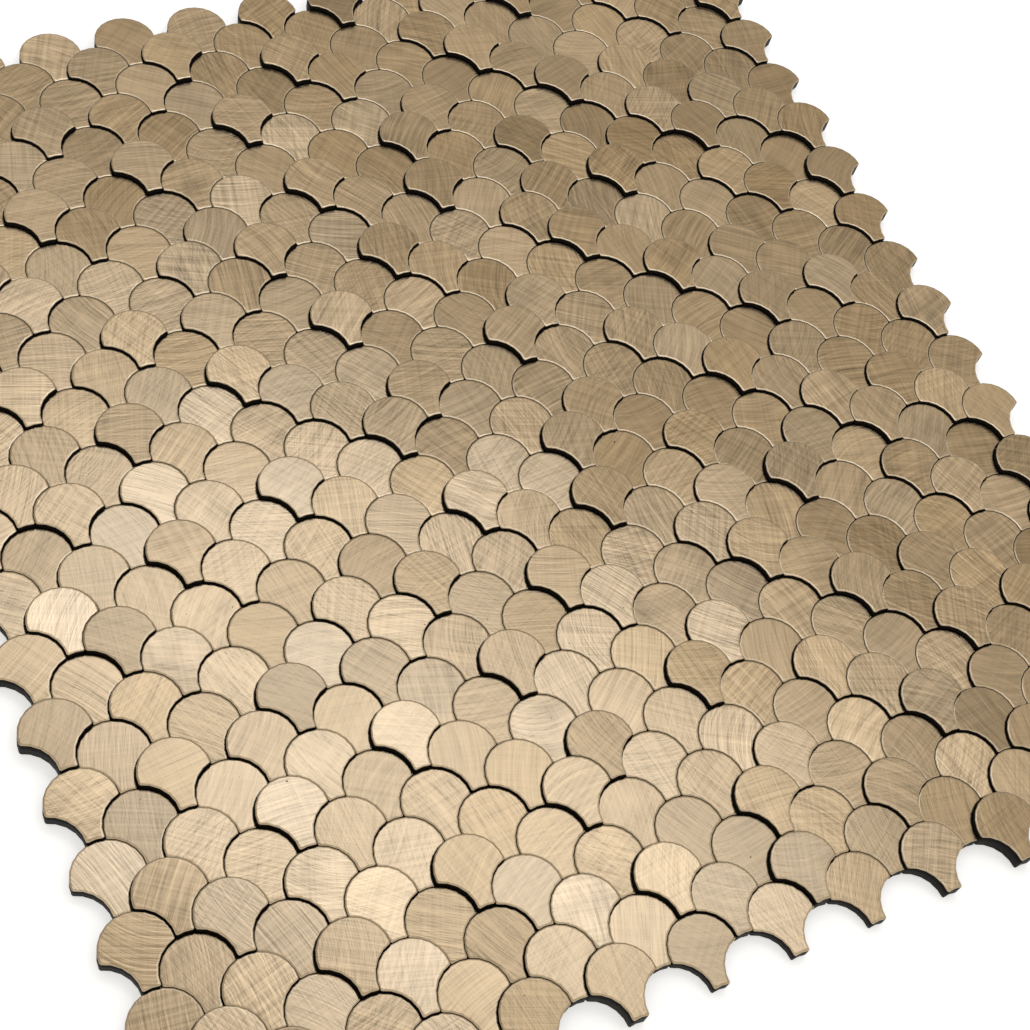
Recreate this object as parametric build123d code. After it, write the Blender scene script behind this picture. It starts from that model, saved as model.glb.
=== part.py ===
from build123d import *
from math import hypot
import os

# The sheet is a field of fan-shaped chips, cut from metal-faced composite board and laid
# like fish scales on an adhesive film with a release liner. All sizes are in millimetres.
# X runs across the sheet, Y up the sheet, and Z out of the chips' faces.

# Lattice on which the chips stand. Every second row is shifted by half a column.
COLUMN_PITCH = 21.5
ROW_PITCH = 9.0
COLUMNS = 13
ROWS = 34

# Round head of a chip, and the groove left open between two chips.
HEAD_RADIUS = 8.6
GROOVE = 0.25

# The round of the head runs as flat sides, two to a flank. The corner between those two
# stands out of the round by this much, so that the sides cut in no further than it stands out.
CORNER_STAND_OUT = 0.3

# Thickness of the board from which the chips of each grade are cut.
LOW_THICKNESS = 3.0
MIDDLE_THICKNESS = 3.8
HIGH_THICKNESS = 4.6

# Layers under the chips. The film's edge lies inside the outline of the chips.
FILM_THICKNESS = 0.5
LINER_THICKNESS = 0.15
FILM_MARGIN = 2.0

GRADES = {
    "L": ("low_chips", LOW_THICKNESS),
    "M": ("middle_chips", MIDDLE_THICKNESS),
    "H": ("high_chips", HIGH_THICKNESS),
}

# Laying card: the sheet is laid in strips of four rows. Each line is a row of a strip, from
# its top, with the grade of each chip. The order runs down the sheet and then starts again.
STRIPS = {
    "A": ("MHMLLHLLLMLLL", "LLMHLLLMLHMLM", "LMHLMLLHLLMML", "HLMLMHLLMLHHL"),
    "B": ("MHMLLHLLLMLMM", "LLMHLLLMLHMMH", "LMHLMLLHLLMMM", "HLMLMHLLMLHHM"),
    "C": ("MHLLMLMHLLMHH", "LMLMHLLLMHLMH", "HMLLMLHLMLLML", "LLHMLLMLHLLMH"),
}
STRIP_ORDER = "CACABCABC"


def head_side():
    """Corners up the right side of a head, from its centre: shoulder, flank and crown.

    The shoulder lies as far right as the head reaches, and as high as the chip below reaches.
    That is also the crown of the chip below, so the crown lies a column and a row from it.
    """
    shoulder = (HEAD_RADIUS, HEAD_RADIUS - ROW_PITCH)
    crown = (COLUMN_PITCH / 2 - HEAD_RADIUS, HEAD_RADIUS)
    across = shoulder[0] + crown[0]
    up = shoulder[1] + crown[1]
    reach = (HEAD_RADIUS + CORNER_STAND_OUT) / hypot(across, up)
    return [shoulder, (across * reach, up * reach), crown]


def chip_face():
    """A chip's cell, its own head and a tail between the heads below, less half the groove."""
    right = head_side()
    left = [(-x, y) for x, y in reversed(right)]
    left_flank = [(x - COLUMN_PITCH / 2, y - ROW_PITCH) for x, y in reversed(right[:2])]
    right_flank = [(-x, y) for x, y in reversed(left_flank)]
    cell = make_face(Polyline(*right, *left, *left_flank, *right_flank, close=True))
    return offset(cell, amount=-GROOVE / 2, kind=Kind.INTERSECTION)


def chip_place(column, row):
    """Centre of a chip's head, measured from the middle of the sheet."""
    middle_x = (COLUMNS - 0.5) * COLUMN_PITCH / 2
    middle_y = HEAD_RADIUS - (ROWS + 1) * ROW_PITCH / 2
    x = (column + row % 2 / 2) * COLUMN_PITCH - middle_x
    y = -row * ROW_PITCH - middle_y
    return x, y


def chips(letter):
    """All chips of one grade, as separate solids on top of the film."""
    name, thickness = GRADES[letter]
    chip = extrude(chip_face(), amount=thickness, dir=(0, 0, 1)).solid()
    level = LINER_THICKNESS + FILM_THICKNESS
    card = [line for strip in STRIP_ORDER for line in STRIPS[strip]]
    laid = []
    for row in range(ROWS):
        line = card[row % len(card)]
        for column in range(COLUMNS):
            if line[column % len(line)] == letter:
                x, y = chip_place(column, row)
                laid.append(chip.moved(Location((x, y, level))))
    return Compound(laid)


def film_outline():
    """Die-cut edge of the film and liner: in and out under the chips of the edge.

    It keeps the margin inside each chip that stands out, and twice that inside the others.
    Under the bottom row it is straight, the margin above the tails of the row before.
    """
    last = COLUMNS - 1
    out = FILM_MARGIN
    back = 2 * FILM_MARGIN
    top = []
    for column in range(COLUMNS):
        x, y = chip_place(column, 0)
        top.append((x, y + HEAD_RADIUS - out))
        if column < last:
            top.append((x + COLUMN_PITCH / 2, y - ROW_PITCH + HEAD_RADIUS - back))
    left = []
    right = []
    for row in range(ROWS - 1):
        x, y = chip_place(0, row)
        inset = out if row % 2 == 0 else back
        left.append((x - HEAD_RADIUS + inset, y))
        x, y = chip_place(last, row)
        inset = back if row % 2 == 0 else out
        right.append((x + HEAD_RADIUS - inset, y))
    bottom_left, y = chip_place(0, ROWS - 1)
    bottom_right, y = chip_place(last, ROWS - 1)
    bottom = y - ROW_PITCH + HEAD_RADIUS + out
    corners = [
        (bottom_right + HEAD_RADIUS - back, bottom),
        (bottom_left - HEAD_RADIUS + back, bottom),
    ]
    return top + right + corners + left[::-1]


def layer(bottom, thickness):
    """A flat layer of the film's outline, on a given level."""
    face = make_face(Polyline(*film_outline(), close=True))
    return extrude(face, amount=thickness, dir=(0, 0, 1)).moved(Location((0, 0, bottom)))


parts = {name: chips(letter) for letter, (name, thickness) in GRADES.items()}
parts["adhesive_film"] = layer(LINER_THICKNESS, FILM_THICKNESS)
parts["release_liner"] = layer(0, LINER_THICKNESS)

os.makedirs("parts", exist_ok=True)
for name, part in parts.items():
    export_step(part, f"parts/{name}.step")
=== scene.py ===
import math

import bpy
import numpy as np
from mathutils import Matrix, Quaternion, Vector


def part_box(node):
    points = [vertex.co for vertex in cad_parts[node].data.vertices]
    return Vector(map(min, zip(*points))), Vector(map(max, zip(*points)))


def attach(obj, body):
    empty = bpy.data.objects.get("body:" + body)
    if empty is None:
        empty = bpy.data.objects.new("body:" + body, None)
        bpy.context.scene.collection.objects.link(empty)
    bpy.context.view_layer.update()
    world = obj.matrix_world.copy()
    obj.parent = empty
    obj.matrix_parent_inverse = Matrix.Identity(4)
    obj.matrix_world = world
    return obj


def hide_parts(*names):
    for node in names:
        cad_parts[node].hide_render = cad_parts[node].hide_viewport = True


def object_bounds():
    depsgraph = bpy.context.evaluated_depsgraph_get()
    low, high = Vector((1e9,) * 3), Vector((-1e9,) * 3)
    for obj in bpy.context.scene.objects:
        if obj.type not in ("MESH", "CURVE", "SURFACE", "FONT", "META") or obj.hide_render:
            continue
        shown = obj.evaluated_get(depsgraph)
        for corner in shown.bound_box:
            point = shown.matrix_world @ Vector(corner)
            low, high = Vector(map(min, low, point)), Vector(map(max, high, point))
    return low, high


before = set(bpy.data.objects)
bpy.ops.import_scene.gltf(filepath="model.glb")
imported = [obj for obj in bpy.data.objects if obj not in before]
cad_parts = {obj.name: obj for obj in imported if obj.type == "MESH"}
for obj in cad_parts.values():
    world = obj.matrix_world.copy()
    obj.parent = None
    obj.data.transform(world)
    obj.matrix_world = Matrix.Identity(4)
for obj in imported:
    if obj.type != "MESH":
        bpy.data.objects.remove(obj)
cad_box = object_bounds()


# Release liner
# A sheet of silicone-coated paper under the adhesive, die-cut with it in one stroke and peeled
# off before the tile goes on the wall.

PAPER = (0.80, 0.78, 0.72, 1)
PAPER_SHADE = (0.70, 0.675, 0.61, 1)
PAPER_SHEEN = {"Roughness": 0.42, "Coat Weight": 0.15}

# Pulp of the paper: spots in a metre, detail and roughness of the noise, and its height.
PULP = (900.0, 3.0, 0.6)
PULP_HEIGHT = 0.00002


class Field:
    """What varies over a surface: a node's output, on which arithmetic adds Math nodes."""

    def __init__(self, tree, socket=None):
        self.tree = tree
        self.socket = socket

    def node(self, kind, settings=None, sockets=None, out=0):
        """Adds a node: its settings, then the value or link of each socket.

        Sockets go by name or number, and so does the output that is taken.
        """
        made = self.tree.nodes.new(kind)
        for name, value in (settings or {}).items():
            setattr(made, name, value)
        for name, value in (sockets or {}).items():
            if isinstance(value, Field):
                self.tree.links.new(value.socket, made.inputs[name])
            else:
                made.inputs[name].default_value = value
        return Field(self.tree, made.outputs[out])

    def math(self, operation, first, second):
        """What a Math node makes of two values."""
        return self.node("ShaderNodeMath", {"operation": operation}, {0: first, 1: second})

    def __add__(self, other):
        return self.math("ADD", self, other)

    def __sub__(self, other):
        return self.math("SUBTRACT", self, other)

    def __rsub__(self, other):
        return self.math("SUBTRACT", other, self)

    def __mul__(self, other):
        return self.math("MULTIPLY", self, other)

    def __gt__(self, other):
        return self.math("GREATER_THAN", self, other)

    __radd__ = __add__
    __rmul__ = __mul__

    def blend(self, first, second):
        """A colour that goes from the first to the second as this value goes from 0 to 1."""
        sockets = {0: self, 6: first, 7: second}
        return self.node("ShaderNodeMix", {"data_type": "RGBA"}, sockets, out=2)

    def noise(self, scale, detail, roughness):
        """Noise from 0 to 1 on this vector."""
        sockets = {"Vector": self, "Scale": scale, "Detail": detail, "Roughness": roughness}
        return self.node("ShaderNodeTexNoise", None, sockets)

    def bump(self, distance):
        """A normal that leans as this height, in units of the distance, rises and falls."""
        return self.node("ShaderNodeBump", None, {"Height": self, "Distance": distance})

    def feeds(self, shader, socket):
        """Links this to a socket of the shader."""
        self.tree.links.new(self.socket, shader.inputs[socket])


def finish(name, constants):
    """A new material with one Principled shader, that shader, and a start for its fields.

    The constants are the shader's sockets that are the same all over the surface.
    """
    made = bpy.data.materials.new(name)
    made.use_nodes = True
    shader = made.node_tree.nodes["Principled BSDF"]
    for socket, value in constants.items():
        shader.inputs[socket].default_value = value
    return made, shader, Field(made.node_tree)


def put_on(node, material):
    """Gives a CAD node's object one material in all its slots."""
    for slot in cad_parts[node].material_slots:
        slot.material = material


liner_paper, shader, start = finish("liner_paper", PAPER_SHEEN)
place = start.node("ShaderNodeTexCoord", out="Object")
pulp = place.noise(*PULP)
pulp.blend(PAPER, PAPER_SHADE).feeds(shader, "Base Color")
pulp.bump(PULP_HEIGHT).feeds(shader, "Normal")
put_on("release_liner", liner_paper)


# Adhesive film
# A dark double-sided tape that holds every chip by its back. It shows only at the bottom of the
# grooves, and from low down under the sheet's edge.

TAPE = (0.030, 0.026, 0.021, 1)
TAPE_DUST = (0.065, 0.056, 0.044, 1)
TAPE_SHEEN = {"Roughness": 0.5}

# Dust on the adhesive: spots in a metre, detail and roughness of the noise, and its height.
DUST = (400.0, 3.0, 0.6)
DUST_HEIGHT = 0.00004

tacky_film, shader, start = finish("tacky_film", TAPE_SHEEN)
place = start.node("ShaderNodeTexCoord", out="Object")
dust = place.noise(*DUST)
dust.blend(TAPE, TAPE_DUST).feeds(shader, "Base Color")
dust.bump(DUST_HEIGHT).feeds(shader, "Normal")
put_on("adhesive_film", tacky_film)


# Chips
# Fans punched from composite board in three thicknesses: a skin of aluminium, brushed and
# anodised champagne gold, on a black plastic core. The punch rolls the skin over at the edge,
# and each chip is laid with its brushing in another direction.

COLUMN_PITCH = 0.0215
ROW_PITCH = 0.009
COLUMNS = 13
ROWS = 34
HEAD_RADIUS = 0.0086
GROOVE = 0.00025

# How far from a corner the punch's round starts, along either side.
CORNER_CUT = 0.0003

# Flat sides that the head, each flank and the end of the tail are drawn with.
HEAD_SIDES = 12
FLANK_SIDES = 5
TAIL_SIDES = 2

# Rings of the skin, from its flat to the core: how far in from the core's wall, how far down,
# how much paler rim gold it takes, for burnish and painted highlight, and how brown along the
# head. The last one stands a little over the core.
SKIN_RINGS = (
    (0.00044, 0.0, 0.0, 0.0),
    (0.00008, 0.00002, 0.7, 0.5),
    (-0.00004, 0.00011, 0.9, 0.0),
)

# The mean colour of the skin, the spread of the chips' tones about it, how red falls and blue
# rises with the tone, as powers of it, and the spread of both from warm to pale. The limits are
# how many spreads a chip may lie from the mean.
GOLD = (0.493, 0.369, 0.229)
TONE_SPREAD = 0.14
TONE_LIMIT = 2.4
RED_POWER = -0.09
BLUE_POWER = 0.18
RED_SPREAD = 0.012
BLUE_SPREAD = 0.026
WARMTH_LIMIT = 2

# What is drawn for each chip: where in the noise its brushing starts, how that bends and how
# its cross strokes lean, the share of those, the depth of all, and how seldom it gets strong
# patches of painted highlight.
DICE_SEED = 1907
SHIFT_MOST = 1000
BEND_SPREAD = 0.012
LEAN_MOST = 0.7
CROSSED = (0.3, 1)
DEPTH = (0.7, 1.3)
HIGHLIGHT_PATCH_POWER = 5

# Millimetres in a metre.
MM = 1000

# Material slots of a chip's mesh.
SKIN_SLOT = 0
CORE_SLOT = 1


def crossings():
    """Angles on a head's circle where it meets the chip beside it, and the tail above it.

    Two heads, half a column and a row apart, cross at half their distance along the line
    between them.
    """
    slope = math.atan2(ROW_PITCH, COLUMN_PITCH / 2)
    opening = math.acos(math.hypot(COLUMN_PITCH / 2, ROW_PITCH) / 2 / HEAD_RADIUS)
    return opening - slope, opening + slope


SHOULDER, CROWN = crossings()


def lattice():
    """Centres of all heads: rows a pitch apart, every second one half a column to the right."""
    row, column = np.divmod(np.arange(ROWS * COLUMNS), COLUMNS)
    x = (column + row % 2 / 2 - (COLUMNS - 0.5) / 2) * COLUMN_PITCH
    first_row = cad_box[1].y + GROOVE / 2 - HEAD_RADIUS
    return np.stack([x, first_row - row * ROW_PITCH], axis=1)


def stretch(first, last, sides, centre, facing):
    """One arc of the outline: a radius times cos t, sin t round a centre, t from first to last.

    With it come the outward normals, cos t, sin t. Facing -1 turns them, for a hollow arc.
    """
    t = np.linspace(first, last, sides + 1)
    normals = np.stack([np.cos(t), np.sin(t)], axis=1)
    return centre + HEAD_RADIUS * normals, facing * normals


def cut(corner, neighbour):
    """The point on the side from a corner to its neighbour where the corner's round starts."""
    side = neighbour - corner
    return corner + side * (CORNER_CUT / np.linalg.norm(side))


def outline(inset):
    """A chip's closed outline, counterclockwise, moved inwards by an inset, with cut corners.

    The head lies on the chip's own circle. Each flank lies on that of the chip below it to that
    side, and the tail's end on that of the chip two rows down. Points move against their
    normals, and a corner against the sum of its two normals over 1 plus their product.
    """
    half = COLUMN_PITCH / 2
    arcs = (
        stretch(SHOULDER, math.pi - SHOULDER, HEAD_SIDES, (0, 0), 1),
        stretch(CROWN, SHOULDER, FLANK_SIDES, (-half, -ROW_PITCH), -1),
        stretch(math.pi - CROWN, CROWN, TAIL_SIDES, (0, -2 * ROW_PITCH), -1),
        stretch(math.pi - SHOULDER, math.pi - CROWN, FLANK_SIDES, (half, -ROW_PITCH), -1),
    )
    moved = []
    for n, (points, normals) in enumerate(arcs):
        before = arcs[n - 1][1][-1]
        corner = (before + normals[0]) / (1 + before @ normals[0])
        steps = np.concatenate([[corner], normals[1:-1]])
        moved.append(points[:-1] - inset * steps)
    closed = []
    for n, (corner, *side) in enumerate(moved):
        closed += [cut(corner, moved[n - 1][-1]), cut(corner, side[0]), *side]
    return np.array(closed)


def places_on(node, places):
    """Those of the places that a chip of this CAD node stands on.

    A place is on a triangle of the top faces if it lies to the same side of its three edges,
    give or take a hair, because a place may lie on the edge between two triangles.
    """
    hair = 1e-9  # square metres
    level_slack = 1e-5  # metres
    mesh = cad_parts[node].data
    corners = np.empty(len(mesh.vertices) * 3, np.float32)
    mesh.vertices.foreach_get("co", corners)
    mesh.calc_loop_triangles()
    numbers = np.empty(len(mesh.loop_triangles) * 3, np.int32)
    mesh.loop_triangles.foreach_get("vertices", numbers)
    triangles = corners.reshape(-1, 3)[numbers].reshape(-1, 3, 3)
    level = triangles[:, :, 2]
    top = triangles[(level > level.max() - level_slack).all(axis=1)][:, :, :2]
    edges = np.roll(top, -1, axis=1) - top
    away = places[None, None] - top[:, :, None]
    side = edges[:, :, None, 0] * away[..., 1] - edges[:, :, None, 1] * away[..., 0]
    inside = (side > -hair).all(axis=1) | (side < hair).all(axis=1)
    return places[inside.any(axis=0)]


def chip_mesh(name, places, bottom, top):
    """All chips of one thickness in one mesh, with every chip's points in a row.

    Each is a stack of outlines: the rings of the skin, then the foot of the core. Quads join a
    ring to the next, and the first and last are closed with a face. Attributes hold how much
    paler rim gold each point takes, for burnish and painted highlight, and how brown it is.
    """
    foot_ring = (0.0, top - bottom, 0.0, 0.0)
    rings = []
    burnish_and_highlight = []
    browned = []
    for inset, drop, shine, brown in (*SKIN_RINGS, foot_ring):
        ring = outline(GROOVE / 2 + inset)
        rings.append(np.column_stack([ring, np.full(len(ring), top - drop)]))
        burnish_and_highlight.append(shine)
        browned.append(brown)
    chip = np.concatenate(rings)
    centres = np.column_stack([places, np.zeros(len(places))])
    points = (centres[:, None] + chip[None]).reshape(-1, 3)

    sides = len(rings[0])
    here = np.arange(sides)
    ahead = np.roll(here, -1)
    quads = np.stack([here, here + sides, ahead + sides, ahead], axis=1)
    strips = np.concatenate([quads + sides * n for n in range(len(rings) - 1)])
    foot = here[::-1] + sides * (len(rings) - 1)
    faces = []
    for shift in range(0, len(points), len(chip)):
        faces.append((here + shift).tolist())
        faces.extend((strips + shift).tolist())
        faces.append((foot + shift).tolist())

    mesh = bpy.data.meshes.new(name)
    mesh.from_pydata(points.tolist(), [], faces)
    skin_faces = 1 + sides * (len(SKIN_RINGS) - 1)
    slots = np.full(1 + len(strips) + 1, CORE_SLOT)
    slots[:skin_faces] = SKIN_SLOT
    smooth = np.ones(len(slots), bool)
    smooth[[0, -1]] = False
    mesh.polygons.foreach_set("material_index", np.tile(slots, len(places)))
    mesh.polygons.foreach_set("use_smooth", np.tile(smooth, len(places)))
    # The outline's first point lies on the flank before the head, and the head's points follow.
    head_points = HEAD_SIDES + 1
    on_head = (here >= 1) & (here <= head_points)
    add_attribute(mesh, "burnish_and_highlight", np.tile(np.repeat(burnish_and_highlight, sides), len(places)))
    add_attribute(mesh, "browned", np.tile(np.outer(browned, on_head).ravel(), len(places)))
    return mesh


def add_attribute(mesh, name, numbers):
    """A number for every point of a mesh."""
    attribute = mesh.attributes.new(name, "FLOAT", "POINT")
    attribute.data.foreach_set("value", np.asarray(numbers, np.float32))


def brush(mesh, places, dice):
    """Lays each chip's brushing and shade, drawn from the dice.

    A UV map runs in millimetres along and across the brushing, which is turned and shifted
    for each chip. Attributes hold how the brushing bends, how a second one leans and how much
    it shows, how deep both are, how strong its patches of painted highlight are, and its
    colour:
    the gold times a tone, with red and blue times powers of that tone, a little warmer or
    paler.
    """
    count = len(places)
    each = len(mesh.vertices) // count
    turn = dice.uniform(0, math.pi, count)[:, None]
    shift = dice.uniform(0, SHIFT_MOST, (count, 1, 2))
    points = np.empty(len(mesh.vertices) * 3, np.float32)
    mesh.vertices.foreach_get("co", points)
    local = MM * (points.reshape(count, each, 3)[:, :, :2] - places[:, None])
    along = np.cos(turn) * local[..., 0] + np.sin(turn) * local[..., 1]
    across = np.cos(turn) * local[..., 1] - np.sin(turn) * local[..., 0]
    uv = (np.stack([along, across], axis=2) + shift).reshape(-1, 2)
    corner = np.empty(len(mesh.loops), np.int32)
    mesh.loops.foreach_get("vertex_index", corner)
    layer = mesh.uv_layers.new(name="brushing")
    layer.data.foreach_set("uv", uv[corner].astype(np.float32).ravel())

    add_attribute(mesh, "along", along.ravel())
    add_attribute(mesh, "bend", np.repeat(dice.normal(0, BEND_SPREAD, count), each))
    add_attribute(mesh, "lean", np.repeat(dice.uniform(-LEAN_MOST, LEAN_MOST, count), each))
    add_attribute(mesh, "crossed", np.repeat(dice.uniform(*CROSSED, count), each))
    add_attribute(mesh, "depth", np.repeat(dice.uniform(*DEPTH, count), each))
    add_attribute(mesh, "highlight_patchiness", np.repeat(dice.uniform(0, 1, count) ** HIGHLIGHT_PATCH_POWER, each))
    tone = np.exp(TONE_SPREAD * np.clip(dice.normal(0, 1, count), -TONE_LIMIT, TONE_LIMIT))
    warmth = np.clip(dice.normal(0, 1, count), -WARMTH_LIMIT, WARMTH_LIMIT)
    red = tone**RED_POWER * (1 + RED_SPREAD * warmth)
    blue = tone**BLUE_POWER * (1 - BLUE_SPREAD * warmth)
    colour = np.array(GOLD) * tone[:, None] * np.stack([red, np.ones(count), blue], axis=1)
    skin = mesh.attributes.new("skin", "FLOAT_COLOR", "POINT")
    rgba = np.column_stack([colour, np.ones(count)])
    skin.data.foreach_set("color", np.repeat(rgba, each, axis=0).astype(np.float32).ravel())


# Strokes of the brush: how many start in a millimetre along them and across them, the detail
# of their noise, and where in it they start, so that no two kinds of strokes are alike.
WIDE_STROKES = (0.035, 0.74, 2.0, 0.0)
FINE_STROKES = (0.075, 1.7, 2.0, 0.0)
CROSS_STROKES = (0.04, 0.85, 2.5, 40.0)
STRAY_STROKES = (0.07, 1.3, 2.0, 90.0)
STROKE_ROUGHNESS = 0.6

# Shares of the strokes in the grain, and of the grain and the patches of painted highlight in
# light, sheen and relief.
WIDE_LOST = 0.55
STRAY_SHARE = 0.7
FINE_SHARE = 0.85
GRAIN_LIGHT = 0.92
CLOUD_LIGHT = 0.14
HIGHLIGHT_PATCH_LIGHT = 0.8
SHEEN = 0.28
GRAIN_SHEEN = 0.12
GRAIN_HEIGHT = 0.00004

# Patches of painted highlight and specks: scale in a millimetre, detail and roughness of their
# noise, and the level above which a speck shows.
HIGHLIGHT_PATCHES = (0.12, 2.0, 0.5)
SPECKS = (0.9, 1.0, 0.5)
SPECK_LEVEL = 0.81

# Colours of the rolled edge, burnished and painted paler as a highlight, of its line along the
# head, and of a speck of dirt.
RIM_GOLD_AND_HIGHLIGHT = (0.70, 0.58, 0.42, 1)
EDGE_BROWN = (0.100, 0.062, 0.030, 1)
SPECK = (0.075, 0.048, 0.026, 1)

brushed_gold, shader, start = finish("brushed_gold", {"Metallic": 1.0})
uv = start.node("ShaderNodeUVMap", {"uv_map": "brushing"})
u = start.node("ShaderNodeSeparateXYZ", None, {0: uv}, out="X")
v = start.node("ShaderNodeSeparateXYZ", None, {0: uv}, out="Y")


def laid(name, out="Fac"):
    """What the chips' mesh holds under this name for each of its points."""
    return start.node("ShaderNodeAttribute", {"attribute_name": name}, out=out)


def strokes(lengthways, sideways, kind):
    """Noise drawn out along the brushing, about zero."""
    along_mm, across_mm, detail, first = kind
    sockets = {0: lengthways * along_mm + first, 1: sideways * across_mm}
    vector = start.node("ShaderNodeCombineXYZ", None, sockets)
    return vector.noise(1.0, detail, STROKE_ROUGHNESS) - 0.5


along = laid("along")
lean = laid("lean")
crossed = laid("crossed")
bent = v + along * along * laid("bend")
wide = strokes(u, bent, WIDE_STROKES)
fine = strokes(u, bent, FINE_STROKES)
cross = strokes(v, u + v * lean, CROSS_STROKES)
stray = strokes(v, v - u * lean, STRAY_STROKES)
# Clouds of noise brighten and darken the gold in patches, strongly on a few chips: painted
# highlight for the brushed metal's uneven sheen.
highlight_cloud = uv.noise(*HIGHLIGHT_PATCHES) - 0.5
grain = wide * (1.0 - WIDE_LOST * crossed) + cross * crossed + stray * STRAY_SHARE
grain = (grain + fine * FINE_SHARE) * laid("depth")
light = 1 + grain * GRAIN_LIGHT + highlight_cloud * (CLOUD_LIGHT + laid("highlight_patchiness") * HIGHLIGHT_PATCH_LIGHT)
sockets = {0: laid("skin", "Color"), "Scale": light}
shade = start.node("ShaderNodeVectorMath", {"operation": "SCALE"}, sockets)
specked = (uv.noise(*SPECKS) > SPECK_LEVEL).blend(shade, SPECK)
# The rolled edge takes the paler gold all round: burnished metal, and painted highlight where
# its rims catch the lamp.
rim = laid("burnish_and_highlight").blend(specked, RIM_GOLD_AND_HIGHLIGHT)
laid("browned").blend(rim, EDGE_BROWN).feeds(shader, "Base Color")
(SHEEN + grain * GRAIN_SHEEN).feeds(shader, "Roughness")
grain.bump(GRAIN_HEIGHT).feeds(shader, "Normal")

# Black plastic of the core, and the paler scuffs that the punch leaves on it.
CORE = (0.0026, 0.0022, 0.0018, 1)
CORE_SCUFF = (0.008, 0.0068, 0.0055, 1)
CORE_SHEEN = {"Roughness": 0.6, "Specular IOR Level": 0.1}

# Scuffs of the core: spots in a metre, detail and roughness of the noise, and its height.
SCUFFS = (1500.0, 3.0, 0.6)
SCUFF_HEIGHT = 0.00003

black_core, shader, start = finish("black_core", CORE_SHEEN)
place = start.node("ShaderNodeTexCoord", out="Object")
scuff = place.noise(*SCUFFS)
scuff.blend(CORE, CORE_SCUFF).feeds(shader, "Base Color")
scuff.bump(SCUFF_HEIGHT).feeds(shader, "Normal")

all_places = lattice()
dice = np.random.default_rng(DICE_SEED)
for node in ("low_chips", "middle_chips", "high_chips"):
    bottom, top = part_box(node)
    places = places_on(node, all_places)
    mesh = chip_mesh("gold_" + node, places, bottom.z, top.z)
    brush(mesh, places, dice)
    mesh.materials.append(brushed_gold)
    mesh.materials.append(black_core)
    piece = bpy.data.objects.new("gold_" + node, mesh)
    bpy.context.scene.collection.objects.link(piece)
    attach(piece, "root")
    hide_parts(node)
    print(node, len(places), "chips")


# Floor, light and camera
# The sheet lies on a white floor, in a plain room with a long lamp over it, set aslant. The
# camera looks down along the sheet from its lower left.

FLOOR_SIZE = 8.0
FLOOR_FINISH = {
    "Base Color": (0.86, 0.86, 0.86, 1),
    "Emission Color": (1, 1, 1, 1),
    "Roughness": 0.9,
    "Specular IOR Level": 0.1,
}

# How strongly the floor glows where the camera sees it, straight or in or through a thing.
FLOOR_GLOW = 0.5

bpy.ops.mesh.primitive_plane_add(size=FLOOR_SIZE)
floor = bpy.context.object
floor.name = "floor"
white_floor, shader, start = finish("white_floor", FLOOR_FINISH)
straight = start.node("ShaderNodeLightPath", out="Is Camera Ray")
reflected = start.node("ShaderNodeLightPath", out="Is Glossy Ray")
through = start.node("ShaderNodeLightPath", out="Is Transmission Ray")
seen = straight + reflected + through
(seen * FLOOR_GLOW).feeds(shader, "Emission Strength")
floor.data.materials.append(white_floor)

# Light of the room and of the lamp. The lamp is slightly cool, and the room slightly warm.
ROOM = (0.683, 0.65, 0.588, 1)
LAMP_RADIANCE = 1.7
LAMP_TINT = (0.885, 1.0, 1.225)
LAMP_SIZE = (0.72, 0.30)
LAMP_PLACE = (0.215, 0.28, 0.9)
LAMP_TURN = math.radians(-56)

world = bpy.data.worlds.new("room")
bpy.context.scene.world = world
world.use_nodes = True
world.node_tree.nodes["Background"].inputs["Color"].default_value = ROOM

lamp = bpy.data.lights.new("long_lamp", "AREA")
lamp.shape = "RECTANGLE"
lamp.size, lamp.size_y = LAMP_SIZE
lamp.energy = LAMP_RADIANCE * math.pi * LAMP_SIZE[0] * LAMP_SIZE[1]
lamp.color = LAMP_TINT
lamp_object = bpy.data.objects.new("long_lamp", lamp)
lamp_object.location = LAMP_PLACE
lamp_object.rotation_euler.z = LAMP_TURN
bpy.context.scene.collection.objects.link(lamp_object)

# Where the camera stands and what it aims at, its roll, and its lens and sensor in millimetres.
AZIMUTH = math.radians(-42.165)
ELEVATION = math.radians(55.795)
ROLL = math.radians(20.286)
TARGET = Vector((-0.00859, -0.02929, 0.0042))
DISTANCE = 0.5148
LENS = 71.346
SENSOR = 36.0
NEAREST_SEEN = 0.01

lens = bpy.data.cameras.new("camera")
lens.lens = LENS
lens.sensor_width = SENSOR
lens.clip_start = NEAREST_SEEN
camera = bpy.data.objects.new("camera", lens)
flat = math.cos(ELEVATION)
back = Vector((math.sin(AZIMUTH) * flat, -math.cos(AZIMUTH) * flat, math.sin(ELEVATION)))
camera.location = TARGET + back * DISTANCE
camera.rotation_mode = "QUATERNION"
camera.rotation_quaternion = back.to_track_quat("Z", "Y") @ Quaternion((0, 0, 1), ROLL)
bpy.context.scene.collection.objects.link(camera)
bpy.context.scene.camera = camera
bpy.context.scene.view_settings.view_transform = "Standard"
